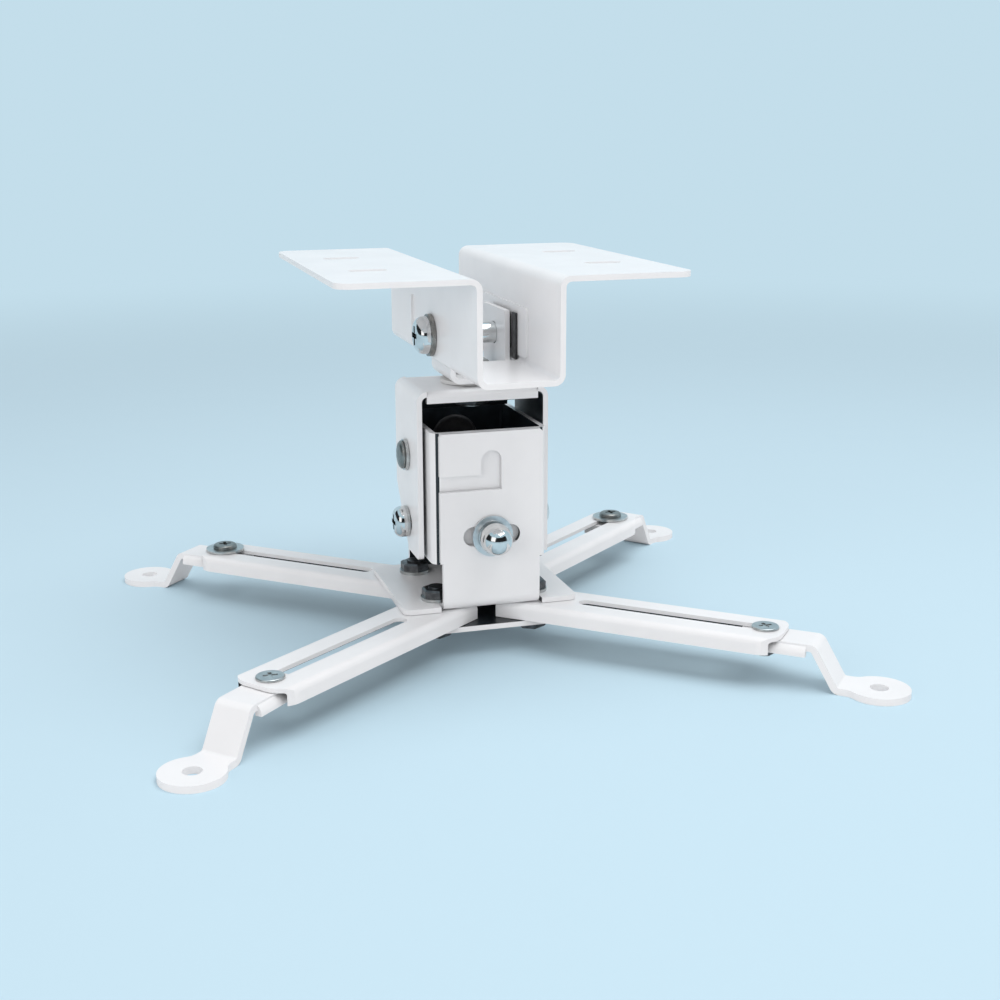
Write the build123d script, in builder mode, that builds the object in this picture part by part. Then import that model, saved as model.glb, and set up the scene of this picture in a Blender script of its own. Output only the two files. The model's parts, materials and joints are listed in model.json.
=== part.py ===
"""Projector ceiling mount in folded steel sheet.

The ceiling face of the top bracket is the plane z = 0, the pan axis is the z axis, the front of the mount
looks along -Y and its left side is -X. All sizes are in millimetres.
"""
import os
from math import cos, radians, sin

from build123d import *

os.makedirs("parts", exist_ok=True)

# Sheet metal and fits
sheet = 2.0
bend = 2.0
fold = bend + sheet / 2
play = 0.2
side_gap = 0.3
run_fit = 0.06
free_fit = 0.2
cut_margin = 5.0

# M8 fasteners
m8_radius = 4.0
m8_flats = 13.0
m8_head = 5.3
m8_nut = 6.5
m8_thin_nut = 4.6
m8_washer_radius = 8.0
m8_washer = 1.6
m8_dome_radius = 7.2
m8_dome = 5.0

# M6 fasteners
m6_radius = 3.0
m6_flats = 10.0
m6_head = 4.0
m6_nut = 5.0
m6_thin_nut = 3.2
m6_washer_radius = 6.0
m6_washer = 1.2
m6_dome_radius = 6.0
m6_dome = 4.2

# M5 fasteners
m5_radius = 2.5
m5_flats = 8.0
m5_nut = 4.0
m5_washer = 1.0
m5_wide_washer_radius = 8.0
m5_small_washer_radius = 5.0
m5_dome_radius = 5.0
m5_dome = 1.8
m5_flat_head = 0.8
bevel = 0.6
thread_end = 1.5

# Shares of a domed head's height and radius that its rounding and cross recess take
dome_rounding = 0.72
recess_depth = 0.5
recess_length = 1.0
recess_width = 0.26

# Ceiling bracket
bracket_width = 126.0
bracket_depth = 132.0
bracket_corner = 6.0
channel_width = 31.4
channel_height = 37.5
ceiling_slot_x = 44.0
ceiling_slot_y = 25.0
ceiling_slot_length = 14.0
ceiling_slot_width = 6.0
panel_length = 60.0
panel_top = -15.0
panel_bottom = -channel_height + bend + sheet
panel_corner = 2.0
panel_step = 0.8
panel_outer = channel_width / 2 - panel_step
panel_inner = panel_outer - sheet

# Tilt cradle and pan stack
tilt_height = 10.0
tilt_z = -channel_height + tilt_height
liner = 1.0
liner_half = 12.0
liner_above = 9.0
liner_below = 5.0
liner_corner = 2.0
cradle_outer = panel_inner - liner - 2 * play
cradle_half = 14.5
cradle_above = 10.0
cradle_top = tilt_z + cradle_above
cradle_below = 7.0
cradle_bottom = -channel_height - cradle_below
cradle_corner = 6.0
opening_gap = 0.7
opening_swing = 4.0
opening_half_x = cradle_outer + opening_gap
opening_half_y = cradle_half + opening_swing
opening_corner = 2.0
spacer_radius = 11.5
spacer_height = 1.3

# Yoke
yoke_top = cradle_bottom - spacer_height - play
yoke_outer = 25.5
yoke_inner = yoke_outer - sheet
yoke_half = 18.0
yoke_bottom = -110.5
yoke_cut_y = 19.5
yoke_cut_z = 23.5
yoke_corner = 2.0
yoke_lip = 4.5
yoke_lip_half = yoke_inner - bend
pan_washer_top = yoke_top - sheet - play

# Pivot frame
frame_gap = 1.3
frame_outer_x = yoke_inner - frame_gap
frame_outer_y = 26.7
frame_corner = 3.5
frame_top = -60.0
frame_bottom = -110.0
frame_hole_radius = 8.0
pitch_z = -73.0
lock_z = -99.5
lock_radius = pitch_z - lock_z
pitch_swing = 8.0
lock_reach = lock_radius * sin(radians(pitch_swing))
lock_rise = pitch_z - lock_radius * cos(radians(pitch_swing))

# Lower bracket and hub plate
wall_inner = frame_outer_y + side_gap
wall_outer = wall_inner + sheet
wall_half = 19.8
neck_half = 18.8
neck_top = -109.0
wall_top = -60.0
wall_corner = 1.5
plate_half_x = 34.0
plate_corner = 3.0
plate_relief = 1.0
plate_bottom = -128.0
roll_z = lock_z
roll_slot_length = 22.0
roll_slot_height = 7.5
roll_head_radius = 7.0
roll_head = 5.0
roll_washer_radius = 7.8
hook_low = -82.0
hook_high = -76.0
hook_top = -67.0
hook_half = 4.0
hub_half = 29.0
hub_corner = 6.0
pivot_x = 19.0
pivot_y = 18.0

# Arms
arm_sheet = 1.5
arm_bend = 1.0
arm_width = 25.0
arm_height = 6.2
arm_top = plate_bottom - play
arm_bottom = arm_top - arm_height
arm_tail = 9.5
arm_slot_width = 5.6
arm_slot_start = 20.0
arm_slot_end = 95.0
arm_end = 99.5
arm_corner = 8.0
hub_top = arm_bottom - play

# Feet
feet_z = -147.0
foot_thick = 2.5
foot_bend = 1.2
foot_half = 7.0
foot_reach = 41.5
foot_bend_start = 19.0
foot_run = 8.5
slider_half = 8.5
slider_tail = 9.0
slider_nose = 16.5
slider_height = 4.4
pad_radius = 11.0
pad_blend = 5.0
pad_hole_radius = 3.25
bar_top = arm_top - arm_sheet - play
bar_bottom = bar_top - foot_thick
clamp_reach = arm_slot_end - arm_slot_width / 2

# Side signs, arm angle from the Y axis and foot turn of the four corners
corners = {
    "front_left": (-1, -1, 51.0, -6.5),
    "front_right": (1, -1, 49.0, 0.0),
    "back_left": (-1, 1, 49.0, 0.0),
    "back_right": (1, 1, 49.0, 0.0),
}


def seat_on_x(side, x, y, z):
    """Plane across the X axis, facing outwards on the given side."""
    return Plane((side * x, y, z), x_dir=(0, 1, 0), z_dir=(side, 0, 0))


def seat_on_y(side, y, z):
    """Plane across the Y axis, facing outwards on the given side."""
    return Plane((0, side * y, z), x_dir=(1, 0, 0), z_dir=(0, side, 0))


def seat_on_z(side, x, y, z):
    """Horizontal plane facing up or down."""
    return Plane((x, y, z), x_dir=(1, 0, 0), z_dir=(0, 0, side))


def hex_bolts(seats, radius, flats, head, length):
    """Hexagon bolts with their heads standing on the given seats."""
    with BuildPart() as bolts:
        for seat in seats:
            with BuildSketch(seat):
                RegularPolygon(flats / 2, 6, major_radius=False, rotation=30)
            extrude(amount=head)
            crown = bolts.faces(Select.LAST).sort_by(Axis(seat.origin, seat.z_dir))[-1]
            chamfer(crown.edges(), bevel)
            with BuildSketch(seat):
                Circle(radius)
            extrude(amount=-length)
    return bolts


def round_bolts(seats, radius, head_radius, head, length):
    """Domed bolts with a cross recess, their heads standing on the given seats."""
    with BuildPart() as bolts:
        for seat in seats:
            with BuildSketch(seat):
                Circle(head_radius)
            extrude(amount=head)
            crown = bolts.faces(Select.LAST).sort_by(Axis(seat.origin, seat.z_dir))[-1]
            fillet(crown.edges(), head * dome_rounding)
            with BuildSketch(seat.offset(head)):
                Rectangle(recess_length * head_radius, recess_width * head_radius)
                Rectangle(recess_width * head_radius, recess_length * head_radius)
            extrude(amount=-recess_depth * head, mode=Mode.SUBTRACT)
            with BuildSketch(seat):
                Circle(radius)
            extrude(amount=-length)
    return bolts


def hex_nuts(seats, radius, flats, height):
    """Hexagon nuts standing on the given seats."""
    with BuildPart() as nuts:
        for seat in seats:
            with BuildSketch(seat):
                RegularPolygon(flats / 2, 6, major_radius=False, rotation=30)
            extrude(amount=height)
            crown = nuts.faces(Select.LAST).sort_by(Axis(seat.origin, seat.z_dir))[-1]
            chamfer(crown.edges(), bevel)
            with BuildSketch(seat):
                Circle(radius + run_fit)
            extrude(amount=height, mode=Mode.SUBTRACT)
    return nuts


def washers(seats, radius, outer_radius, thickness):
    """Flat washers lying on the given seats."""
    with BuildPart() as rings:
        for seat in seats:
            with BuildSketch(seat):
                Circle(outer_radius)
                Circle(radius + free_fit, mode=Mode.SUBTRACT)
            extrude(amount=thickness)
    return rings


def hand_in(piece, name):
    """Label one piece and write its STEP file."""
    piece.part.label = name
    export_step(piece.part, f"parts/{name}.step")


# Ceiling bracket: hat section with slots, a pressed-in panel on each wall and an opening for the cradle
with BuildPart() as ceiling_bracket:
    channel_x = channel_width / 2 - sheet / 2
    with BuildSketch(Plane.XZ):
        with BuildLine():
            FilletPolyline(
                (-bracket_width / 2, -sheet / 2),
                (-channel_x, -sheet / 2),
                (-channel_x, -channel_height + sheet / 2),
                (channel_x, -channel_height + sheet / 2),
                (channel_x, -sheet / 2),
                (bracket_width / 2, -sheet / 2),
                radius=fold,
            )
        trace(line_width=sheet)
    extrude(amount=bracket_depth / 2, both=True)
    tips = ceiling_bracket.edges().filter_by(Axis.Z).group_by(SortBy.DISTANCE)[-1]
    fillet(tips, bracket_corner)
    with BuildSketch(Plane.XY):
        with GridLocations(2 * ceiling_slot_x, 2 * ceiling_slot_y, 2, 2):
            SlotOverall(ceiling_slot_length, ceiling_slot_width)
    extrude(amount=-sheet, mode=Mode.SUBTRACT)
    press_height = panel_top + channel_height + cut_margin
    panel_height = panel_top - panel_bottom
    for side in (-1, 1):
        with BuildSketch(seat_on_x(side, panel_outer, 0, panel_top - press_height / 2)):
            RectangleRounded(panel_length, press_height, panel_corner)
        extrude(amount=panel_step, mode=Mode.SUBTRACT)
        with BuildSketch(seat_on_x(side, panel_inner, 0, panel_top - panel_height / 2)):
            RectangleRounded(panel_length, panel_height, panel_corner)
        extrude(amount=panel_step)
    with BuildSketch(Plane.XY.offset(-channel_height)):
        RectangleRounded(2 * opening_half_x, 2 * opening_half_y, opening_corner)
    extrude(amount=sheet + bend, mode=Mode.SUBTRACT)
    with BuildSketch(Plane.YZ):
        with Locations((0, tilt_z)):
            Circle(m8_radius + run_fit)
    extrude(amount=channel_width / 2, both=True, mode=Mode.SUBTRACT)
hand_in(ceiling_bracket, "ceiling_bracket")

# Tilt cradle: U strap that hangs on the cross bolt
with BuildPart() as tilt_cradle:
    cradle_x = cradle_outer - sheet / 2
    with BuildSketch(Plane.XZ):
        with BuildLine():
            FilletPolyline(
                (-cradle_x, cradle_top),
                (-cradle_x, cradle_bottom + sheet / 2),
                (cradle_x, cradle_bottom + sheet / 2),
                (cradle_x, cradle_top),
                radius=fold,
            )
        trace(line_width=sheet)
    extrude(amount=cradle_half, both=True)
    cradle_tips = tilt_cradle.edges().filter_by(Axis.X).filter_by_position(Axis.Z, cradle_top, cradle_top)
    fillet(cradle_tips, cradle_corner)
    with BuildSketch(Plane.YZ):
        with Locations((0, tilt_z)):
            Circle(m8_radius + free_fit)
    extrude(amount=cradle_outer, both=True, mode=Mode.SUBTRACT)
    with BuildSketch(Plane.XY.offset(cradle_bottom)):
        Circle(m8_radius + free_fit)
    extrude(amount=sheet, mode=Mode.SUBTRACT)
hand_in(tilt_cradle, "tilt_cradle")

# Cross bolt with its liners inside the walls and its washers and nut outside
tilt_washer_seat = panel_outer + play
tilt_seat = tilt_washer_seat + m8_washer
tilt_length = 2 * tilt_seat + m8_nut + thread_end
tilt_bolt = round_bolts(
    [seat_on_x(-1, tilt_seat, 0, tilt_z)], m8_radius, m8_dome_radius, m8_dome, tilt_length
)
hand_in(tilt_bolt, "tilt_bolt")
with BuildPart() as tilt_liners:
    for side in (-1, 1):
        with BuildSketch(seat_on_x(side, cradle_outer + play, 0, tilt_z)):
            with Locations((0, side * (liner_above - liner_below) / 2)):
                RectangleRounded(2 * liner_half, liner_above + liner_below, liner_corner)
            Circle(m8_radius + free_fit, mode=Mode.SUBTRACT)
        extrude(amount=liner)
hand_in(tilt_liners, "tilt_liners")
tilt_washer_seats = [seat_on_x(side, tilt_washer_seat, 0, tilt_z) for side in (-1, 1)]
tilt_washers = washers(tilt_washer_seats, m8_radius, m8_washer_radius, m8_washer)
hand_in(tilt_washers, "tilt_washers")
tilt_nut = hex_nuts([seat_on_x(1, tilt_seat, 0, tilt_z)], m8_radius, m8_flats, m8_nut)
hand_in(tilt_nut, "tilt_nut")

# Pan bolt, thrust spacer, washer and nut
pan_seat = cradle_bottom + sheet
pan_nut_top = pan_washer_top - m8_washer
pan_length = pan_seat - pan_nut_top + m8_thin_nut + thread_end / 2
pan_bolt = hex_bolts([seat_on_z(1, 0, 0, pan_seat)], m8_radius, m8_flats, m8_head, pan_length)
hand_in(pan_bolt, "pan_bolt")
pan_spacer = washers([seat_on_z(-1, 0, 0, cradle_bottom)], m8_radius, spacer_radius, spacer_height)
hand_in(pan_spacer, "pan_spacer")
pan_washer = washers([seat_on_z(-1, 0, 0, pan_washer_top)], m8_radius, m8_washer_radius, m8_washer)
hand_in(pan_washer, "pan_washer")
pan_nut = hex_nuts([seat_on_z(-1, 0, 0, pan_nut_top)], m8_radius, m8_flats, m8_thin_nut)
hand_in(pan_nut, "pan_nut")

# Yoke: inverted U with a lip along each edge of its top, arc slots and a cut lower back corner on each wall
with BuildPart() as yoke:
    yoke_x = yoke_outer - sheet / 2
    with BuildSketch(Plane.XZ):
        with BuildLine():
            FilletPolyline(
                (-yoke_x, yoke_bottom),
                (-yoke_x, yoke_top - sheet / 2),
                (yoke_x, yoke_top - sheet / 2),
                (yoke_x, yoke_bottom),
                radius=fold,
            )
        trace(line_width=sheet)
    extrude(amount=yoke_half, both=True)
    with BuildSketch(Plane.XY.offset(yoke_top)):
        Rectangle(2 * yoke_lip_half, 2 * yoke_half)
    extrude(amount=-sheet, mode=Mode.SUBTRACT)
    with BuildSketch(Plane.YZ):
        with BuildLine():
            FilletPolyline(
                (-yoke_half + sheet / 2, yoke_top - yoke_lip),
                (-yoke_half + sheet / 2, yoke_top - sheet / 2),
                (yoke_half - sheet / 2, yoke_top - sheet / 2),
                (yoke_half - sheet / 2, yoke_top - yoke_lip),
                radius=fold / 2,
            )
        trace(line_width=sheet)
    extrude(amount=yoke_lip_half, both=True)
    with BuildSketch(Plane.YZ):
        with BuildLine():
            Polyline(
                (yoke_half, yoke_bottom + yoke_cut_z),
                (yoke_half, yoke_bottom),
                (yoke_half - yoke_cut_y, yoke_bottom),
                close=True,
            )
        make_face()
    extrude(amount=yoke_outer, both=True, mode=Mode.SUBTRACT)
    toes = yoke.edges().filter_by(Axis.X).filter_by_position(Axis.Z, yoke_bottom, yoke_bottom)
    fillet(toes, yoke_corner)
    with BuildSketch(Plane.YZ):
        with Locations((0, pitch_z)):
            Circle(m6_radius + run_fit)
        with BuildLine():
            CenterArc((0, pitch_z), lock_radius, 270 - pitch_swing, 2 * pitch_swing)
        trace(line_width=2 * (m6_radius + side_gap))
        with Locations((-lock_reach, lock_rise), (lock_reach, lock_rise)):
            Circle(m6_radius + side_gap)
    extrude(amount=yoke_outer, both=True, mode=Mode.SUBTRACT)
    with BuildSketch(Plane.XY.offset(yoke_top)):
        Circle(m8_radius + run_fit)
    extrude(amount=-sheet, mode=Mode.SUBTRACT)
hand_in(yoke, "yoke")

# Pivot frame: rectangular sleeve between yoke and lower bracket
with BuildPart() as pivot_frame:
    with BuildSketch(Plane.XY.offset(frame_bottom)):
        RectangleRounded(2 * frame_outer_x, 2 * frame_outer_y, frame_corner)
        RectangleRounded(
            2 * (frame_outer_x - sheet),
            2 * (frame_outer_y - sheet),
            frame_corner - sheet,
            mode=Mode.SUBTRACT,
        )
    extrude(amount=frame_top - frame_bottom)
    with BuildSketch(Plane.YZ):
        with Locations((0, pitch_z), (0, lock_z)):
            Circle(m6_radius + free_fit)
    extrude(amount=frame_outer_x, both=True, mode=Mode.SUBTRACT)
    with BuildSketch(Plane.XZ):
        with Locations((0, roll_z)):
            Circle(m6_radius + free_fit)
    extrude(amount=frame_outer_y, both=True, mode=Mode.SUBTRACT)
    with BuildSketch(seat_on_y(1, 0, pitch_z)):
        Circle(frame_hole_radius)
    extrude(amount=frame_outer_y, mode=Mode.SUBTRACT)
hand_in(pivot_frame, "pivot_frame")

# Pitch and lock bolts through the yoke walls, with washers, spacers and weld nuts
side_seat = yoke_outer + play
side_head = side_seat + m6_washer
side_inside = frame_outer_x - sheet
side_length = side_head - side_inside + m6_nut
pitch_seats = [seat_on_x(side, side_head, 0, pitch_z) for side in (-1, 1)]
pitch_bolts = hex_bolts(pitch_seats, m6_radius, m6_flats, m6_head, side_length)
hand_in(pitch_bolts, "pitch_bolts")
lock_seats = [seat_on_x(side, side_head, 0, lock_z) for side in (-1, 1)]
lock_bolts = round_bolts(lock_seats, m6_radius, m6_dome_radius, m6_dome, side_length)
hand_in(lock_bolts, "lock_bolts")
side_spots = [(side, z) for side in (-1, 1) for z in (pitch_z, lock_z)]
side_washers = washers(
    [seat_on_x(side, side_seat, 0, z) for side, z in side_spots],
    m6_radius,
    m6_washer_radius,
    m6_washer,
)
hand_in(side_washers, "side_washers")
side_spacers = washers(
    [seat_on_x(side, frame_outer_x + play, 0, z) for side, z in side_spots],
    m6_radius,
    m6_washer_radius,
    frame_gap - 2 * play,
)
hand_in(side_spacers, "side_spacers")
side_nuts = hex_nuts(
    [seat_on_x(side, -side_inside, 0, z) for side, z in side_spots],
    m6_radius,
    m6_flats,
    m6_nut,
)
hand_in(side_nuts, "side_nuts")

# Roll bolts in the front and back slots, with washers and weld nuts
roll_seat = wall_outer + play
roll_head_seat = roll_seat + m6_washer
roll_inside = frame_outer_y - sheet
roll_bolts = round_bolts(
    [seat_on_y(side, roll_head_seat, roll_z) for side in (-1, 1)],
    m6_radius,
    roll_head_radius,
    roll_head,
    roll_head_seat - roll_inside + m6_nut,
)
hand_in(roll_bolts, "roll_bolts")
roll_washers = washers(
    [seat_on_y(side, roll_seat, roll_z) for side in (-1, 1)],
    m6_radius,
    roll_washer_radius,
    m6_washer,
)
hand_in(roll_washers, "roll_washers")
roll_nuts = hex_nuts(
    [seat_on_y(side, -roll_inside, roll_z) for side in (-1, 1)],
    m6_radius,
    m6_flats,
    m6_nut,
)
hand_in(roll_nuts, "roll_nuts")

# Lower bracket: base plate with front and back walls, each with a hook slot and a roll slot
with BuildPart() as lower_bracket:
    wall_y = wall_outer - sheet / 2
    with BuildSketch(Plane.YZ):
        with BuildLine():
            FilletPolyline(
                (-wall_y, wall_top),
                (-wall_y, plate_bottom + sheet / 2),
                (wall_y, plate_bottom + sheet / 2),
                (wall_y, wall_top),
                radius=fold,
            )
        trace(line_width=sheet)
    extrude(amount=wall_half, both=True)
    wall_tips = lower_bracket.edges().filter_by(Axis.Y).filter_by_position(Axis.Z, wall_top, wall_top)
    fillet(wall_tips, wall_corner)
    with BuildSketch(Plane.XZ):
        for side in (-1, 1):
            with Locations((side * (neck_half + wall_half) / 2, (neck_top + plate_bottom) / 2)):
                Rectangle(wall_half - neck_half, neck_top - plate_bottom)
    extrude(amount=wall_outer, both=True, mode=Mode.SUBTRACT)
    wing = plate_half_x - neck_half
    with BuildSketch(Plane.XY.offset(plate_bottom)):
        with Locations((-neck_half - wing / 2, 0), (neck_half + wing / 2, 0)):
            Rectangle(wing, 2 * wall_outer)
        fillet(vertices().group_by(SortBy.DISTANCE)[-1], plate_corner)
        with GridLocations(2 * neck_half + plate_relief, 2 * wall_outer, 2, 2):
            Rectangle(plate_relief, 2 * (fold + plate_relief), mode=Mode.SUBTRACT)
    extrude(amount=sheet)
    with BuildSketch(Plane.XY.offset(plate_bottom)):
        with GridLocations(2 * pivot_x, 2 * pivot_y, 2, 2):
            Circle(m6_radius + free_fit)
    extrude(amount=sheet, mode=Mode.SUBTRACT)
    with BuildSketch(Plane.XZ):
        with Locations((0, roll_z)):
            SlotOverall(roll_slot_length, roll_slot_height)
        with BuildLine():
            leg_top = hook_top - hook_half
            Polyline(
                (-wall_half - cut_margin, hook_low),
                (hook_half, hook_low),
                (hook_half, leg_top),
            )
            ThreePointArc((hook_half, leg_top), (0, hook_top), (-hook_half, leg_top))
            Polyline(
                (-hook_half, leg_top),
                (-hook_half, hook_high),
                (-wall_half - cut_margin, hook_high),
                (-wall_half - cut_margin, hook_low),
            )
        make_face()
    extrude(amount=wall_outer, both=True, mode=Mode.SUBTRACT)
hand_in(lower_bracket, "lower_bracket")

# Hub plate under the inner ends of the arms
with BuildPart() as hub_plate:
    with BuildSketch(Plane.XY.offset(hub_top)):
        RectangleRounded(2 * hub_half, 2 * hub_half, hub_corner)
        with GridLocations(2 * pivot_x, 2 * pivot_y, 2, 2):
            Circle(m6_radius + free_fit, mode=Mode.SUBTRACT)
    extrude(amount=-sheet)
hand_in(hub_plate, "hub_plate")

# Arm pivot bolts from below, with washers and thin nuts on the base plate
pivot_spots = [(side_x * pivot_x, side_y * pivot_y) for side_x in (-1, 1) for side_y in (-1, 1)]
pivot_seat = hub_top - sheet
pivot_washer_seat = plate_bottom + sheet
pivot_nut_seat = pivot_washer_seat + m6_washer
pivot_bolts = hex_bolts(
    [seat_on_z(-1, x, y, pivot_seat) for x, y in pivot_spots],
    m6_radius,
    m6_flats,
    m6_head,
    pivot_nut_seat - pivot_seat + m6_thin_nut + thread_end / 2,
)
hand_in(pivot_bolts, "pivot_bolts")
pivot_washers = washers(
    [seat_on_z(1, x, y, pivot_washer_seat) for x, y in pivot_spots],
    m6_radius,
    m6_washer_radius,
    m6_washer,
)
hand_in(pivot_washers, "pivot_washers")
pivot_nuts = hex_nuts(
    [seat_on_z(1, x, y, pivot_nut_seat) for x, y in pivot_spots],
    m6_radius,
    m6_flats,
    m6_thin_nut,
)
hand_in(pivot_nuts, "pivot_nuts")

# Arms, feet and foot clamps at the four corners
for corner, (side_x, side_y, arm_angle, foot_turn) in corners.items():
    arm_x = side_x * sin(radians(arm_angle))
    arm_y = side_y * cos(radians(arm_angle))
    foot_x = side_x * sin(radians(arm_angle + foot_turn))
    foot_y = side_y * cos(radians(arm_angle + foot_turn))
    start_x = side_x * pivot_x
    start_y = side_y * pivot_y
    clamp_x = start_x + clamp_reach * arm_x
    clamp_y = start_y + clamp_reach * arm_y
    arm_section = Plane((start_x, start_y, arm_top), x_dir=(-arm_y, arm_x, 0), z_dir=(arm_x, arm_y, 0))
    arm_plan = Plane((start_x, start_y, arm_top), x_dir=(arm_x, arm_y, 0), z_dir=(0, 0, 1))
    foot_side = Plane((clamp_x, clamp_y, 0), x_dir=(foot_x, foot_y, 0), z_dir=(foot_y, -foot_x, 0))
    foot_plan = Plane((clamp_x, clamp_y, bar_top), x_dir=(foot_x, foot_y, 0), z_dir=(0, 0, 1))
    slider_section = Plane((clamp_x, clamp_y, bar_top), x_dir=(-foot_y, foot_x, 0), z_dir=(foot_x, foot_y, 0))

    with BuildPart() as arm:
        arm_edge = arm_width / 2 - arm_sheet / 2
        with BuildSketch(arm_section.offset(-arm_tail)):
            with BuildLine():
                FilletPolyline(
                    (-arm_edge, -arm_height),
                    (-arm_edge, -arm_sheet / 2),
                    (arm_edge, -arm_sheet / 2),
                    (arm_edge, -arm_height),
                    radius=arm_bend + arm_sheet / 2,
                )
            trace(line_width=arm_sheet)
        extrude(amount=arm_tail + arm_end)
        with BuildSketch(arm_plan):
            with Locations((arm_end / 2 - arm_tail / 2, 0)):
                Rectangle(arm_end + arm_tail, arm_width)
            fillet(vertices().group_by(Axis.X)[-1], arm_corner)
        extrude(amount=-arm_height, mode=Mode.INTERSECT)
        with BuildSketch(arm_plan):
            Circle(m6_radius + run_fit)
            with Locations(((arm_slot_start + arm_slot_end) / 2, 0)):
                SlotOverall(arm_slot_end - arm_slot_start, arm_slot_width)
        extrude(amount=-arm_sheet, mode=Mode.SUBTRACT)
    hand_in(arm, f"arm_{corner}")

    with BuildPart() as foot:
        bar_z = bar_top - foot_thick / 2
        pad_z = feet_z + foot_thick / 2
        with BuildSketch(foot_side):
            with BuildLine():
                FilletPolyline(
                    (-foot_half, bar_z),
                    (foot_bend_start, bar_z),
                    (foot_bend_start + foot_run, pad_z),
                    (foot_reach + pad_radius, pad_z),
                    radius=foot_bend + foot_thick / 2,
                )
            trace(line_width=foot_thick)
        extrude(amount=pad_radius, both=True)
        with BuildSketch(foot_plan) as foot_outline:
            Circle(foot_half)
            with Locations((foot_reach / 2, 0)):
                Rectangle(foot_reach, 2 * foot_half)
            with Locations((foot_reach, 0)):
                Circle(pad_radius)
            waist = foot_outline.vertices().filter_by_position(Axis.X, foot_half, foot_reach)
            fillet(waist, pad_blend)
        extrude(amount=feet_z - bar_top, mode=Mode.INTERSECT)
        slider_edge = slider_half - foot_thick / 2
        with BuildSketch(slider_section.offset(-slider_tail)):
            with BuildLine():
                FilletPolyline(
                    (-slider_edge, -slider_height),
                    (-slider_edge, -foot_thick / 2),
                    (slider_edge, -foot_thick / 2),
                    (slider_edge, -slider_height),
                    radius=foot_bend + foot_thick / 2,
                )
            trace(line_width=foot_thick)
        extrude(amount=slider_tail + slider_nose)
        with BuildSketch(foot_plan):
            Circle(m5_radius + run_fit)
            with Locations((foot_reach, 0)):
                Circle(pad_hole_radius)
        extrude(amount=feet_z - bar_top, mode=Mode.SUBTRACT)
    hand_in(foot, f"foot_{corner}")

    low_seat = bar_bottom - play
    high_seat = arm_top + play
    if side_y > 0:
        head = m5_dome
        head_seat = high_seat + m5_washer
        nut_seat = low_seat
        clamp_washer = washers(
            [seat_on_z(1, clamp_x, clamp_y, high_seat)], m5_radius, m5_wide_washer_radius, m5_washer
        )
    else:
        head = m5_flat_head
        head_seat = high_seat
        nut_seat = low_seat - m5_washer
        clamp_washer = washers(
            [seat_on_z(-1, clamp_x, clamp_y, low_seat)], m5_radius, m5_small_washer_radius, m5_washer
        )
    clamp_screw = round_bolts(
        [seat_on_z(1, clamp_x, clamp_y, head_seat)],
        m5_radius,
        m5_dome_radius,
        head,
        head_seat - nut_seat + m5_nut + thread_end / 2,
    )
    clamp_nut = hex_nuts([seat_on_z(-1, clamp_x, clamp_y, nut_seat)], m5_radius, m5_flats, m5_nut)
    hand_in(clamp_screw, f"clamp_screw_{corner}")
    hand_in(clamp_washer, f"clamp_washer_{corner}")
    hand_in(clamp_nut, f"clamp_nut_{corner}")
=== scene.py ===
import json
import math

import bmesh
import bpy
from mathutils import Matrix, Vector


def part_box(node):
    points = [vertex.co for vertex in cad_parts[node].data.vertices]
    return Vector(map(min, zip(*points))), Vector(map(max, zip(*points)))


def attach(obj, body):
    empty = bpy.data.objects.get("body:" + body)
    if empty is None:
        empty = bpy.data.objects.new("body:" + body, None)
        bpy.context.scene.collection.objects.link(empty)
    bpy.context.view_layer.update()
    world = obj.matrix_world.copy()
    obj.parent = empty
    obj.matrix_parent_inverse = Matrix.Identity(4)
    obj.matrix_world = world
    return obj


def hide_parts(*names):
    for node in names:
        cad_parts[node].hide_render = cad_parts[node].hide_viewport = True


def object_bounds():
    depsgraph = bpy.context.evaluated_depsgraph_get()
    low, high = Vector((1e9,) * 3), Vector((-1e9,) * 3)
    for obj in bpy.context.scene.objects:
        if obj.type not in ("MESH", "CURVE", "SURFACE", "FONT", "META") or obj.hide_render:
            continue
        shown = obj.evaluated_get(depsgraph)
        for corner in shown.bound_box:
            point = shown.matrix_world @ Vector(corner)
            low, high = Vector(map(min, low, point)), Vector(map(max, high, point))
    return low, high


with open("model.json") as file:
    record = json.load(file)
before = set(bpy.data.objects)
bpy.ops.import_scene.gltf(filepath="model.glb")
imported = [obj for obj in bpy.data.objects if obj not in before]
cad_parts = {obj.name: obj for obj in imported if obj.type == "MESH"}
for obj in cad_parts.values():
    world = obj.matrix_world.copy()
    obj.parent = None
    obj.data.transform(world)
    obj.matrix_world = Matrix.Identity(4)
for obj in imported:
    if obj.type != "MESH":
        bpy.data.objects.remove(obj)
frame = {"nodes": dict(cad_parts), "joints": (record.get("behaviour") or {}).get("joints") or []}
cad_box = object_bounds()


# Ceiling bracket. One blank of 2 mm steel sheet folded to a hat section, a shallow panel in each wall.
# It is finished in glossy white powder coat with a faint orange peel, which rounds the cut edges.
# Four screws through the slots in its flanges hold it up.
def even_noise(tree, scale, detail):
    """Even noise through the thickness of a finish."""
    place = tree.nodes.new("ShaderNodeTexCoord")
    grain = tree.nodes.new("ShaderNodeTexNoise")
    grain.inputs["Scale"].default_value = scale
    grain.inputs["Detail"].default_value = detail
    tree.links.new(place.outputs["Object"], grain.inputs["Vector"])
    return grain.outputs["Fac"]


def spread(tree, share, low, high):
    """The middle of a noise, stretched between two values."""
    band = tree.nodes.new("ShaderNodeMapRange")
    band.interpolation_type = "SMOOTHSTEP"
    band.inputs["From Min"].default_value = 0.25
    band.inputs["From Max"].default_value = 0.75
    band.inputs["To Min"].default_value = low
    band.inputs["To Max"].default_value = high
    tree.links.new(share, band.inputs["Value"])
    return band.outputs["Result"]


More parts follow.
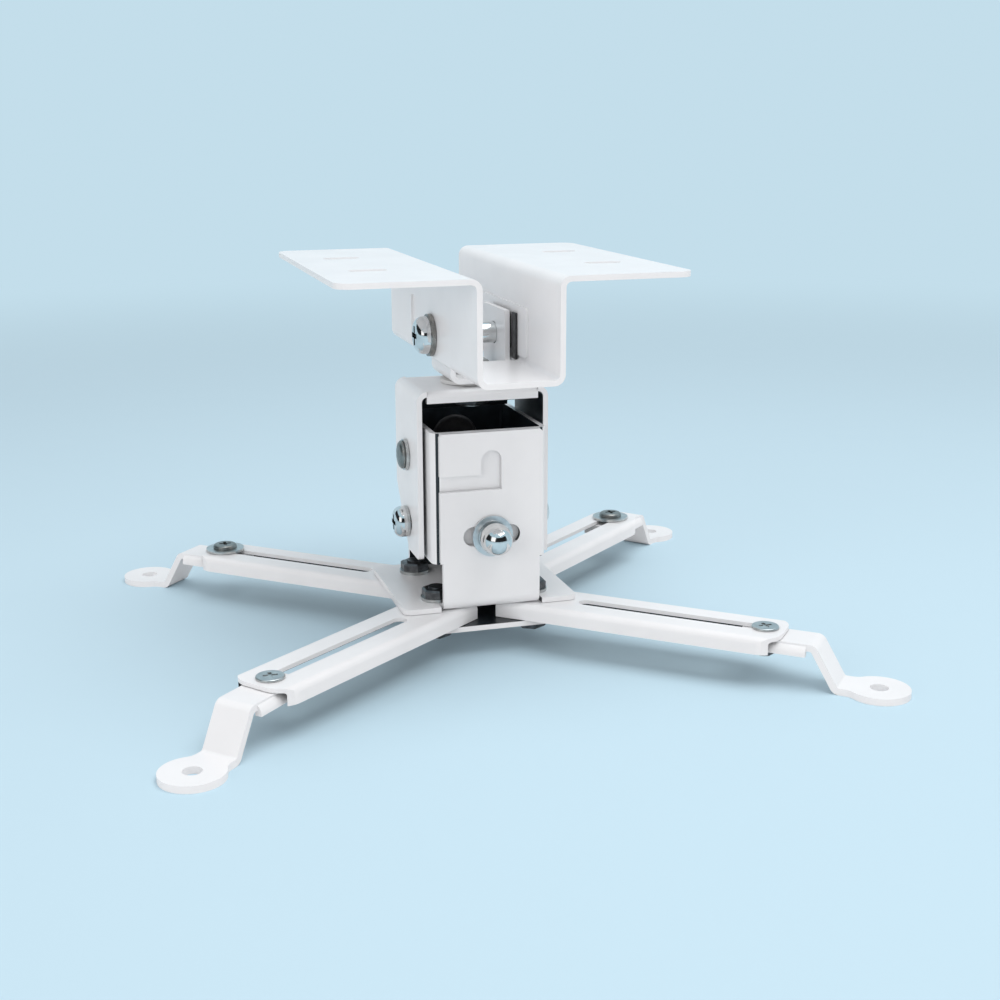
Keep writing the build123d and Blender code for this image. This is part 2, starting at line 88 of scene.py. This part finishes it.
def two_tone(tree, share, dark, light):
    """Colour that runs from dark to light with the given share."""
    tones = tree.nodes.new("ShaderNodeMix")
    tones.data_type = "RGBA"
    tones.inputs["A"].default_value = (*dark, 1)
    tones.inputs["B"].default_value = (*light, 1)
    tree.links.new(share, tones.inputs["Factor"])
    return tones.outputs["Result"]


def raised(tree, height, depth):
    """Bump of the given depth in metres."""
    bump = tree.nodes.new("ShaderNodeBump")
    bump.inputs["Strength"].default_value = 1.0
    bump.inputs["Distance"].default_value = depth
    tree.links.new(height, bump.inputs["Height"])
    return bump.outputs["Normal"]


def blank_finish(name):
    """New finish with its node tree and its shader."""
    finish = bpy.data.materials.new(name)
    finish.use_nodes = True
    tree = finish.node_tree
    return finish, tree, tree.nodes["Principled BSDF"]


def white_powder_coat(name):
    """White coat with soft clouds of tone and gloss and a faint orange peel."""
    finish, tree, shader = blank_finish(name)
    grey_white = (0.845, 0.845, 0.855)
    clean_white = (0.885, 0.885, 0.895)
    glossy, dulled = 0.29, 0.37
    peel_depth = 0.00001
    cloud = spread(tree, even_noise(tree, scale=45, detail=3), 0, 1)
    tree.links.new(two_tone(tree, cloud, grey_white, clean_white), shader.inputs["Base Color"])
    patches = even_noise(tree, scale=160, detail=2)
    tree.links.new(spread(tree, patches, glossy, dulled), shader.inputs["Roughness"])
    peel = raised(tree, even_noise(tree, scale=420, detail=1), peel_depth)
    tree.links.new(peel, shader.inputs["Normal"])
    shader.inputs["Specular IOR Level"].default_value = 0.4
    shader.inputs["Coat Weight"].default_value = 0.15
    shader.inputs["Coat Roughness"].default_value = 0.12
    return finish


def dress(node, finish):
    """Give one CAD node its finish."""
    part = frame["nodes"][node]
    part.data.materials.clear()
    part.data.materials.append(finish)


def round_over(part, radius, one_piece_flats):
    """Round a piece's sharp edges as paint leaves them, its flats first made whole or not."""
    weld = part.modifiers.new("whole_skin", "WELD")
    weld.merge_threshold = 0.000002
    if one_piece_flats:
        flats = part.modifiers.new("whole_flats", "DECIMATE")
        flats.decimate_type = "DISSOLVE"
        flats.angle_limit = math.radians(1)
    edge = part.modifiers.new("rounded_edges", "BEVEL")
    edge.width = radius
    edge.segments = 2
    edge.limit_method = "ANGLE"
    edge.angle_limit = math.radians(35)
    shade = part.modifiers.new("even_shading", "WEIGHTED_NORMAL")
    shade.keep_sharp = False


def paint(node, finish, one_piece_flats=True):
    """Give a sheet part its coat and the edges that the coat leaves."""
    dress(node, finish)
    round_over(frame["nodes"][node], paint_edge, one_piece_flats)


paint_edge = 0.0003
white_paint = white_powder_coat("white_powder_coat")
paint("ceiling_bracket", white_paint)


# Tilt cradle. A U strap of 2 mm steel sheet that hangs on the cross bolt inside the bracket's walls.
# It has the same white powder coat and rocks fore and aft in the opening of the bracket's base.
paint("tilt_cradle", white_paint)


# Cross bolt with its washers and nut. The M8 bolt has a domed head with a cross recess, chromed and
# polished. The washers are dull zinc darkened as painted shade of the head's shadow, the nut bright.
# Tightened, it clamps the cradle and holds the tilt.
def plated(name, dark, light, smooth, rough, depth):
    """Bare metal finish with small changes of tone and polish."""
    finish, tree, shader = blank_finish(name)
    cloud = spread(tree, even_noise(tree, scale=420, detail=4), 0, 1)
    tree.links.new(two_tone(tree, cloud, dark, light), shader.inputs["Base Color"])
    wear = even_noise(tree, scale=900, detail=3)
    tree.links.new(spread(tree, wear, smooth, rough), shader.inputs["Roughness"])
    grain = even_noise(tree, scale=2600, detail=1)
    tree.links.new(raised(tree, grain, depth), shader.inputs["Normal"])
    shader.inputs["Metallic"].default_value = 1.0
    return finish


chrome = plated(
    "polished_chrome", (0.66, 0.67, 0.67), (0.78, 0.78, 0.77), smooth=0.05, rough=0.14, depth=0.000002
)
bright_zinc = plated(
    "bright_zinc_plate", (0.47, 0.48, 0.48), (0.63, 0.63, 0.61), smooth=0.28, rough=0.38, depth=0.000004
)
# Dull zinc made darker than bare zinc, a painted shade so the washers read as lying in the bolt heads'
# shadow.
shaded_dull_zinc = plated(
    "dull_zinc_plate", (0.22, 0.22, 0.21), (0.34, 0.33, 0.31), smooth=0.29, rough=0.44, depth=0.000005
)
dress("tilt_bolt", chrome)
dress("tilt_washers", shaded_dull_zinc)
dress("tilt_nut", bright_zinc)


# Cradle liners. Two thin plates between the cradle and the bracket's walls keep the paint from binding.
# They are punched from black nylon sheet, with a hole for the cross bolt. Their black also serves as
# painted shade in the gap beside the cradle.
def nylon(name, dark, light):
    """Matte moulded nylon with a fine grain."""
    finish, tree, shader = blank_finish(name)
    smooth, rough = 0.42, 0.58
    grain_depth = 0.000008
    cloud = spread(tree, even_noise(tree, scale=300, detail=3), 0, 1)
    tree.links.new(two_tone(tree, cloud, dark, light), shader.inputs["Base Color"])
    patches = even_noise(tree, scale=700, detail=2)
    tree.links.new(spread(tree, patches, smooth, rough), shader.inputs["Roughness"])
    grain = even_noise(tree, scale=1800, detail=2)
    tree.links.new(raised(tree, grain, grain_depth), shader.inputs["Normal"])
    return finish


# Black nylon, also used as painted shade where the gap beside the cradle lies in shadow.
black_nylon_and_painted_shade = nylon("black_nylon_and_painted_shade", (0.018, 0.018, 0.02), (0.035, 0.035, 0.038))
dress("tilt_liners", black_nylon_and_painted_shade)


# Shade strips. Two upright black strips on the inside of the bracket's walls, in front of the liners.
# They are painted shade for the dark gap there. The cradle's edges swing past them without touching.
def as_piece(name, shell, smooth):
    """Object in the scene from a finished shell, shaded smooth or flat."""
    mesh = bpy.data.meshes.new(name)
    shell.to_mesh(mesh)
    shell.free()
    for face in mesh.polygons:
        face.use_smooth = smooth
    piece = bpy.data.objects.new(name, mesh)
    bpy.context.scene.collection.objects.link(piece)
    return piece


above_base = 0.0022
beyond_liner = 0.00015
strip_thickness = 0.0009
strip_edge = 0.0002
strip_near = 0.0152
strip_far = 0.0197
strip_top = -0.018
strip_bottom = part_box("ceiling_bracket")[0][2] + above_base
strip_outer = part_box("tilt_liners")[1][0] + beyond_liner
strip_inner = strip_outer - strip_thickness
strip_size = (strip_outer - strip_inner, strip_far - strip_near, strip_top - strip_bottom, 1)
shell = bmesh.new()
for side in (-1, 1):
    spot = (
        side * (strip_inner + strip_outer) / 2,
        -(strip_near + strip_far) / 2,
        (strip_bottom + strip_top) / 2,
    )
    place = Matrix.Translation(spot) @ Matrix.Diagonal(strip_size)
    bmesh.ops.create_cube(shell, size=1, matrix=place)
strips = as_piece("shade_strips", shell, False)
strips.data.materials.append(black_nylon_and_painted_shade)
round_over(strips, strip_edge, False)
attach(strips, "ceiling")


# Pan bolt, thrust spacer, washer and thin lock nut. The M8 bolt stands on the cradle's floor and hangs
# the yoke, which turns on the spacer, a thin ring of white nylon. Bolt and washer are zinc, the nut black.
oxide = plated(
    "black_oxide", (0.07, 0.071, 0.075), (0.15, 0.151, 0.155), smooth=0.28, rough=0.44, depth=0.000006
)
oxide.node_tree.nodes["Principled BSDF"].inputs["Metallic"].default_value = 0.85
dress("pan_bolt", bright_zinc)
dress("pan_washer", bright_zinc)
dress("pan_nut", oxide)
dress("pan_spacer", nylon("white_nylon", (0.70, 0.70, 0.69), (0.76, 0.76, 0.75)))


# Yoke. An inverted U of 2 mm sheet with a short lip along each edge of its top and cut lower corners.
# Its white coat is painted dark on the faces that look inwards and on undersides, as painted shade.
# It turns on the pan bolt, and bolts in its wall holes and arc slots carry and lock the pivot frame.
def vector_step(tree, operation, first, second):
    """One step of vector arithmetic, with a plain vector or another output as its second value."""
    step = tree.nodes.new("ShaderNodeVectorMath")
    step.operation = operation
    tree.links.new(first, step.inputs[0])
    if isinstance(second, bpy.types.NodeSocket):
        tree.links.new(second, step.inputs[1])
    else:
        step.inputs[1].default_value = second
    return step.outputs["Value" if operation == "DOT_PRODUCT" else "Vector"]


def is_below(tree, value, limit):
    """One where the value is under the limit."""
    test = tree.nodes.new("ShaderNodeMath")
    test.operation = "LESS_THAN"
    test.inputs[1].default_value = limit
    tree.links.new(value, test.inputs[0])
    return test.outputs[0]


def facing_in(tree, centre, axis, lift):
    """One on faces that look in to an axis through the centre, and with a lift on undersides too."""
    inward_limit = -0.006
    place = tree.nodes.new("ShaderNodeTexCoord")
    offset = vector_step(tree, "SUBTRACT", place.outputs["Object"], centre)
    level = vector_step(tree, "MULTIPLY", offset, (1, 1, 0))
    along = vector_step(tree, "PROJECT", level, axis)
    outward = vector_step(tree, "SUBTRACT", level, along)
    outward = vector_step(tree, "ADD", outward, (0, 0, lift))
    facing = vector_step(tree, "DOT_PRODUCT", outward, place.outputs["Normal"])
    return is_below(tree, facing, inward_limit)


def paint_shade(finish, share):
    """Dark painted shade in place of the coat where the share is one."""
    tree = finish.node_tree
    colour = tree.nodes["Principled BSDF"].inputs["Base Color"]
    cloud = spread(tree, even_noise(tree, scale=180, detail=3), 0, 1)
    shade_tone = two_tone(tree, cloud, (0.007, 0.010, 0.013), (0.016, 0.022, 0.028))
    coats = tree.nodes.new("ShaderNodeMix")
    coats.data_type = "RGBA"
    tree.links.new(share, coats.inputs["Factor"])
    tree.links.new(colour.links[0].from_socket, coats.inputs["A"])
    tree.links.new(shade_tone, coats.inputs["B"])
    tree.links.new(coats.outputs["Result"], colour)


middle = (0, 0, 0)
pan_axis = (0, 0, 1)
under_lift = 0.02
yoke_coat_painted_shade = white_powder_coat("yoke_coat_painted_shade")
paint_shade(yoke_coat_painted_shade, facing_in(yoke_coat_painted_shade.node_tree, middle, pan_axis, under_lift))
paint("yoke", yoke_coat_painted_shade)


# Yoke's back lip. At the back the lip goes on down as a stepped flap of the same 2 mm sheet in the yoke's
# coat, whose painted shade darkens its inward face.
# It closes the view under the yoke's top, and its narrow foot hangs inside the pivot frame.
def plate(name, outline, back, thickness):
    """Flat plate across the Y axis from an outline of x and z."""
    shell = bmesh.new()
    rim = [shell.verts.new((x, back - thickness, z)) for x, z in outline]
    face = shell.faces.new(rim)
    swept = bmesh.ops.extrude_face_region(shell, geom=[face])
    moved = [item for item in swept["geom"] if isinstance(item, bmesh.types.BMVert)]
    bmesh.ops.translate(shell, vec=(0, thickness, 0), verts=moved)
    bmesh.ops.recalc_face_normals(shell, faces=shell.faces)
    return as_piece(name, shell, False)


yoke_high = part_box("yoke")[1]
yoke_sheet = 0.002
lip_height = 0.0045
lip_bottom = yoke_high[2] - lip_height
step_half = 0.023
foot_half = 0.0199
step_drop = 0.0069
foot_drop = 0.0085
right_side = [
    (step_half, lip_bottom),
    (step_half, lip_bottom - step_drop),
    (foot_half, lip_bottom - step_drop),
    (foot_half, lip_bottom - foot_drop),
]
flap_outline = right_side + [(-x, z) for x, z in reversed(right_side)]
back_lip = plate("yoke_back_lip", flap_outline, yoke_high[1], yoke_sheet)
back_lip.data.materials.append(yoke_coat_painted_shade)
round_over(back_lip, paint_edge, False)
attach(back_lip, "yoke")


# Pivot frame. A rectangular sleeve of 2 mm sheet that swings in the yoke and carries the lower bracket.
# White coat covers its outside. Its inward faces are painted dark as painted shade, and a strip down each
# corner beside the bracket's walls is a painted shadow.
def both_signs(tree, axis, reach):
    """One beyond the given reach on both sides along an axis."""
    place = tree.nodes.new("ShaderNodeTexCoord")
    along = vector_step(tree, "DOT_PRODUCT", place.outputs["Object"], axis)
    square = tree.nodes.new("ShaderNodeMath")
    square.operation = "MULTIPLY"
    tree.links.new(along, square.inputs[0])
    tree.links.new(along, square.inputs[1])
    beyond = tree.nodes.new("ShaderNodeMath")
    beyond.operation = "GREATER_THAN"
    beyond.inputs[1].default_value = reach * reach
    tree.links.new(square.outputs[0], beyond.inputs[0])
    return beyond.outputs[0]


wall_edge = 0.0194
strip_depth = 0.0006
frame_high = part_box("pivot_frame")[1]
frame_coat_painted_shade = white_powder_coat("frame_coat_painted_shade")
frame_tree = frame_coat_painted_shade.node_tree
paint_shade(frame_coat_painted_shade, facing_in(frame_tree, middle, pan_axis, 0))
# Painted shadow: a dark strip down each front and back corner, beside the edges of the bracket's walls.
at_sides = both_signs(frame_tree, (1, 0, 0), wall_edge)
at_ends = both_signs(frame_tree, (0, 1, 0), frame_high[1] - strip_depth)
corner_shadow_strip = frame_tree.nodes.new("ShaderNodeMath")
corner_shadow_strip.operation = "MULTIPLY"
frame_tree.links.new(at_sides, corner_shadow_strip.inputs[0])
frame_tree.links.new(at_ends, corner_shadow_strip.inputs[1])
paint_shade(frame_coat_painted_shade, corner_shadow_strip.outputs[0])
dress("pivot_frame", frame_coat_painted_shade)


# Frame plug. A black nylon plug that closes the round tool hole in the frame's back wall from inside.
# It is moulded, with a rounded rim on the inside and a dished middle.
def lathe(shell, profile, base, axis, across):
    """Turn a profile of radii and heights about an axis from its base point."""
    centre, outward, forward = Vector(base), Vector(across), Vector(axis)
    points = [shell.verts.new(centre + outward * reach + forward * rise) for reach, rise in profile]
    edges = [shell.edges.new(pair) for pair in zip(points, points[1:])]
    ring = points + edges
    bmesh.ops.spin(shell, geom=ring, cent=base, axis=axis, angle=2 * math.pi, steps=48)


def rounded(name, profile, seats, across):
    """Smooth piece of one turned profile on each seat of a base point and an axis."""
    shell = bmesh.new()
    for base, axis in seats:
        lathe(shell, profile, base, axis, across)
    bmesh.ops.remove_doubles(shell, verts=shell.verts, dist=0.000001)
    bmesh.ops.recalc_face_normals(shell, faces=shell.faces)
    return as_piece(name, shell, True)


hole_radius = 0.008
hole_height = -0.073
frame_sheet = 0.002
plug_seat = (0, frame_high[1] - frame_sheet, hole_height)
plug_profile = [
    (0, 0.0018),
    (hole_radius - 0.0003, 0.0018),
    (hole_radius - 0.0001, 0.0015),
    (hole_radius - 0.0001, -0.0001),
    (hole_radius + 0.0012, -0.0001),
    (hole_radius + 0.0015, -0.0005),
    (hole_radius + 0.0012, -0.0013),
    (hole_radius + 0.0003, -0.0016),
    (hole_radius - 0.0012, -0.0012),
    (hole_radius - 0.0022, 0.0),
    (0, 0.0003),
]
plug = rounded("frame_plug", plug_profile, [(plug_seat, (0, 1, 0))], (1, 0, 0))
plug.data.materials.append(black_nylon_and_painted_shade)
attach(plug, "frame")


# Pitch and lock bolts. M6 screws through the yoke walls and thin spacers into nuts inside the frame.
# The upper pair has low heads in the same darkened dull zinc and carries the swing, and the chromed lower
# pair locks it.
head_radius = 0.0054
head_height = 0.0022
shank_radius = 0.003
shank_length = 0.0116
head_profile = [
    (shank_radius, -shank_length),
    (shank_radius, 0),
    (head_radius - 0.0002, 0),
    (head_radius, 0.0002),
    (head_radius, 0.0008),
    (0.0047, 0.0015),
    (0.0036, 0.0019),
    (0.002, head_height),
    (0, head_height),
]
side_low, side_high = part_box("side_washers")
bolt_low, bolt_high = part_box("pitch_bolts")
pitch_height = (bolt_low[2] + bolt_high[2]) / 2
pitch_seats = [
    ((side_low[0], 0, pitch_height), (-1, 0, 0)),
    ((side_high[0], 0, pitch_height), (1, 0, 0)),
]
pitch_screws = rounded("pitch_screws", head_profile, pitch_seats, (0, 1, 0))
pitch_screws.data.materials.append(shaded_dull_zinc)
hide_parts("pitch_bolts")
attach(pitch_screws, "frame")
dress("lock_bolts", chrome)
dress("side_washers", bright_zinc)
dress("side_spacers", shaded_dull_zinc)
dress("side_nuts", shaded_dull_zinc)


# Roll bolts. M6 cap nuts on studs, chromed and polished, in the level slots of the front and back walls.
# Each has a round foot under a tall dome, a wide satin chrome washer and a nut inside the pivot frame.
foot_radius = 0.0059
foot_height = 0.005
dome_radius = 0.0056
dome_base = 0.0062
stud_radius = 0.003
stud_length = 0.0107
dome_steps = 12
dome_profile = [
    (stud_radius, -stud_length),
    (stud_radius, 0),
    (foot_radius - 0.0003, 0),
    (foot_radius, 0.0003),
    (foot_radius, foot_height - 0.0004),
    (dome_radius, foot_height),
    (dome_radius, dome_base),
]
for step in range(1, dome_steps + 1):
    turn = math.radians(90 * step / dome_steps)
    dome_profile.append((dome_radius * math.cos(turn), dome_base + dome_radius * math.sin(turn)))
washer_low, washer_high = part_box("roll_washers")
roll_height = (washer_low[2] + washer_high[2]) / 2
roll_seats = [
    ((0, washer_low[1], roll_height), (0, -1, 0)),
    ((0, washer_high[1], roll_height), (0, 1, 0)),
]
cap_nuts = rounded("roll_cap_nuts", dome_profile, roll_seats, (1, 0, 0))
cap_nuts.data.materials.append(chrome)
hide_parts("roll_bolts")
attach(cap_nuts, "frame")
satin_chrome = plated(
    "satin_chrome", (0.60, 0.61, 0.62), (0.74, 0.74, 0.74), smooth=0.30, rough=0.42, depth=0.000003
)
dress("roll_washers", satin_chrome)
dress("roll_nuts", shaded_dull_zinc)


# Lower bracket. A base plate with a tall front and back wall, each with a hook slot over a roll slot.
# One folded blank of 2 mm sheet in white coat, painted dark on the faces that look inwards as painted
# shade.
bracket_coat_painted_shade = white_powder_coat("lower_bracket_paint")
paint_shade(bracket_coat_painted_shade, facing_in(bracket_coat_painted_shade.node_tree, middle, pan_axis, 0))
paint("lower_bracket", bracket_coat_painted_shade, False)


# Hub plate and arm pivots. The plate closes the arms' inner ends, and its upward faces are painted dark as
# painted shade between the arms.
# The M6 bolts and thin nuts are black oxide steel on zinc washers.
def facing_up(tree):
    """One on faces that look upwards."""
    steepest = -0.5
    place = tree.nodes.new("ShaderNodeTexCoord")
    down = vector_step(tree, "DOT_PRODUCT", place.outputs["Normal"], (0, 0, -1))
    return is_below(tree, down, steepest)


hub_coat_painted_shade = white_powder_coat("hub_coat_painted_shade")
paint_shade(hub_coat_painted_shade, facing_up(hub_coat_painted_shade.node_tree))
dress("hub_plate", hub_coat_painted_shade)
dress("pivot_bolts", oxide)
dress("pivot_nuts", oxide)
dress("pivot_washers", bright_zinc)


# Arms. Four shallow channels of 1.5 mm sheet with one long slot each, folded and coated white.
# Each turns on its bolt between base plate and hub plate, and its channel's inward faces and undersides
# are painted dark as painted shade.
corners = ("front_left", "front_right", "back_left", "back_right")
joints = {joint["name"]: joint for joint in frame["joints"]}
for corner in corners:
    pivot = joints["arm_swing_" + corner]["pos_m"]
    along = joints["foot_slide_" + corner]["axis"]
    arm_coat_painted_shade = white_powder_coat("arm_coat_painted_shade_" + corner)
    paint_shade(arm_coat_painted_shade, facing_in(arm_coat_painted_shade.node_tree, pivot, along, under_lift))
    paint("arm_" + corner, arm_coat_painted_shade)


# Feet. Cranked 2.5 mm strips with a round pad and a screw hole, and a folded slider that runs in the arm.
# Blanked, bent and powder coated, each bolts to the projector.
for corner in corners:
    paint("foot_" + corner, white_paint)


# Foot clamps. An M5 screw with a low head, a washer and a nut hold each foot in its arm's slot.
# The front heads are flat and the back ones domed. All are zinc plated but the black oxide nuts.
for corner in corners:
    dress("clamp_screw_" + corner, bright_zinc if corner.startswith("front") else shaded_dull_zinc)
    dress("clamp_nut_" + corner, oxide)
    dress("clamp_washer_" + corner, bright_zinc)


# Studio. A pale seamless floor that curves up into its own backdrop all round, lit by soft lamps.
# It is matte card, which keeps the mount's shadow near the middle and glows evenly further out.
studio = bpy.context.scene
pale = (0.55, 0.73, 0.83)
neutral = (0.78, 0.79, 0.80)
far_glow = 0.8
floor_clear = 0.45
floor_edge = 1.4


def seen_directly(tree):
    """One for what the camera, a reflection or a clear piece shows, and none for light on its way."""
    path = tree.nodes.new("ShaderNodeLightPath")
    seen = path.outputs["Is Camera Ray"]
    for ray in ("Is Glossy Ray", "Is Transmission Ray"):
        either = tree.nodes.new("ShaderNodeMath")
        either.operation = "MAXIMUM"
        tree.links.new(seen, either.inputs[0])
        tree.links.new(path.outputs[ray], either.inputs[1])
        seen = either.outputs[0]
    return seen


def pale_board(name):
    """Matte board that keeps shadows near the middle and glows evenly further out."""
    finish, tree, shader = blank_finish(name)
    board = two_tone(tree, seen_directly(tree), neutral, pale)
    tree.links.new(board, shader.inputs["Base Color"])
    patches = even_noise(tree, scale=40, detail=2)
    tree.links.new(spread(tree, patches, 0.75, 0.85), shader.inputs["Roughness"])
    shader.inputs["Specular IOR Level"].default_value = 0.2
    place = tree.nodes.new("ShaderNodeTexCoord")
    level = vector_step(tree, "MULTIPLY", place.outputs["Object"], (1, 1, 0))
    reach = tree.nodes.new("ShaderNodeVectorMath")
    reach.operation = "LENGTH"
    tree.links.new(level, reach.inputs[0])
    share = tree.nodes.new("ShaderNodeMapRange")
    share.interpolation_type = "SMOOTHSTEP"
    share.inputs["From Min"].default_value = floor_clear
    share.inputs["From Max"].default_value = floor_edge
    tree.links.new(reach.outputs["Value"], share.inputs["Value"])
    glow = tree.nodes.new("ShaderNodeEmission")
    far_tone = two_tone(tree, seen_directly(tree), (far_glow,) * 3, pale)
    tree.links.new(far_tone, glow.inputs["Color"])
    blend = tree.nodes.new("ShaderNodeMixShader")
    tree.links.new(share.outputs["Result"], blend.inputs["Fac"])
    tree.links.new(shader.outputs["BSDF"], blend.inputs[1])
    tree.links.new(glow.outputs["Emission"], blend.inputs[2])
    tree.links.new(blend.outputs["Shader"], tree.nodes["Material Output"].inputs["Surface"])
    return finish


def turned(name, profile, start, sweep):
    """Smooth sheet turned about the Z axis from a profile of radii and heights."""
    shell = bmesh.new()
    across, along = math.cos(start), math.sin(start)
    points = [shell.verts.new((radius * across, radius * along, z)) for radius, z in profile]
    edges = [shell.edges.new(pair) for pair in zip(points, points[1:])]
    line = points + edges
    bmesh.ops.spin(shell, geom=line, cent=(0, 0, 0), axis=(0, 0, 1), angle=sweep, steps=96)
    bmesh.ops.remove_doubles(shell, verts=shell.verts, dist=0.0001)
    bmesh.ops.recalc_face_normals(shell, faces=shell.faces)
    sheet_piece = as_piece(name, shell, True)
    return sheet_piece


floor_level = cad_box[0][2]
flat_radius = 2.0
cove = 0.9
cove_steps = 12
wall_height = 1.6
floor_profile = [(0.0, floor_level), (flat_radius, floor_level)]
for step in range(1, cove_steps + 1):
    turn = math.radians(90 * step / cove_steps)
    outwards, upwards = cove * math.sin(turn), cove * (1 - math.cos(turn))
    floor_profile.append((flat_radius + outwards, floor_level + upwards))
floor_profile.append((flat_radius + cove, wall_height))
floor = turned("studio_floor", floor_profile, 0, 2 * math.pi)
floor.data.materials.append(pale_board("pale_board"))


# Black cloth. A curved screen round the camera's side and the left that only reflections show.
# It gives the chromed heads the dark patches that they have between the pale floor and the lamps.
def black_cloth(name):
    """Matte cloth with hardly any tone."""
    finish, tree, shader = blank_finish(name)
    weave = spread(tree, even_noise(tree, scale=900, detail=2), 0, 1)
    black = two_tone(tree, weave, (0.004, 0.004, 0.005), (0.01, 0.01, 0.012))
    tree.links.new(black, shader.inputs["Base Color"])
    shader.inputs["Roughness"].default_value = 0.9
    return finish


screen_radius = 1.7
screen_low = floor_level + 0.15
screen_high = floor_level + 1.3
screen_profile = [(screen_radius, screen_low), (screen_radius, screen_high)]
screen_start = math.radians(130)
screen_sweep = math.radians(200)
screen = turned("black_screen", screen_profile, screen_start, screen_sweep)
screen.data.materials.append(black_cloth("black_cloth"))
screen.visible_camera = False
screen.visible_diffuse = False
screen.visible_shadow = False


# Soft lamps. One large box overhead, a little in front and to the right, and one in front to the left.
# Both look at the middle of the mount, and an even pale sky fills the shadows.
def soft_lamp(name, place, aim, width, height, watts):
    """Rectangular lamp at a place, turned to what it lights."""
    lamp = bpy.data.lights.new(name, "AREA")
    lamp.shape = "RECTANGLE"
    lamp.size = width
    lamp.size_y = height
    lamp.energy = watts
    stand = bpy.data.objects.new(name, lamp)
    stand.location = place
    stand.rotation_euler = (Vector(aim) - Vector(place)).to_track_quat("-Z", "Y").to_euler()
    studio.collection.objects.link(stand)


target = (0, 0, -0.09)
soft_lamp("overhead_softbox", (0.25, -0.25, 1.0), target, width=1.0, height=0.9, watts=7.8)
soft_lamp("front_softbox", (-1.1, -0.85, 0.45), target, width=0.9, height=0.8, watts=3.0)

sky = bpy.data.worlds.new("studio_sky")
studio.world = sky
sky.use_nodes = True
air = sky.node_tree
ambient = (0.55, 0.55, 0.56)
sky_tone = two_tone(air, seen_directly(air), ambient, pale)
air.links.new(sky_tone, air.nodes["Background"].inputs["Color"])


# Photo camera. It stands a little left of the front, just above the mount.
# It leans by under half a degree, and its shift only sets the framing.
azimuth = math.radians(-15.47)
elevation = math.radians(14.03)
lean = math.radians(-0.43)
back = Vector(
    (
        math.sin(azimuth) * math.cos(elevation),
        -math.cos(azimuth) * math.cos(elevation),
        math.sin(elevation),
    )
)
level_right = Vector((0, 0, 1)).cross(back).normalized()
level_up = back.cross(level_right)
right = level_right * math.cos(lean) + level_up * math.sin(lean)
up = level_up * math.cos(lean) - level_right * math.sin(lean)
lens = bpy.data.cameras.new("photo_camera")
lens.sensor_width = 36
lens.lens = 52.24
lens.shift_x = 0.0291
lens.shift_y = -0.0151
lens.clip_start = 0.01
camera = bpy.data.objects.new("photo_camera", lens)
stand_point = (-0.1466, -0.5297, 0.0503)
aim = Matrix((right, up, back)).transposed().to_4x4()
camera.matrix_world = Matrix.Translation(stand_point) @ aim
studio.collection.objects.link(camera)
studio.camera = camera
studio.view_settings.view_transform = "Standard"
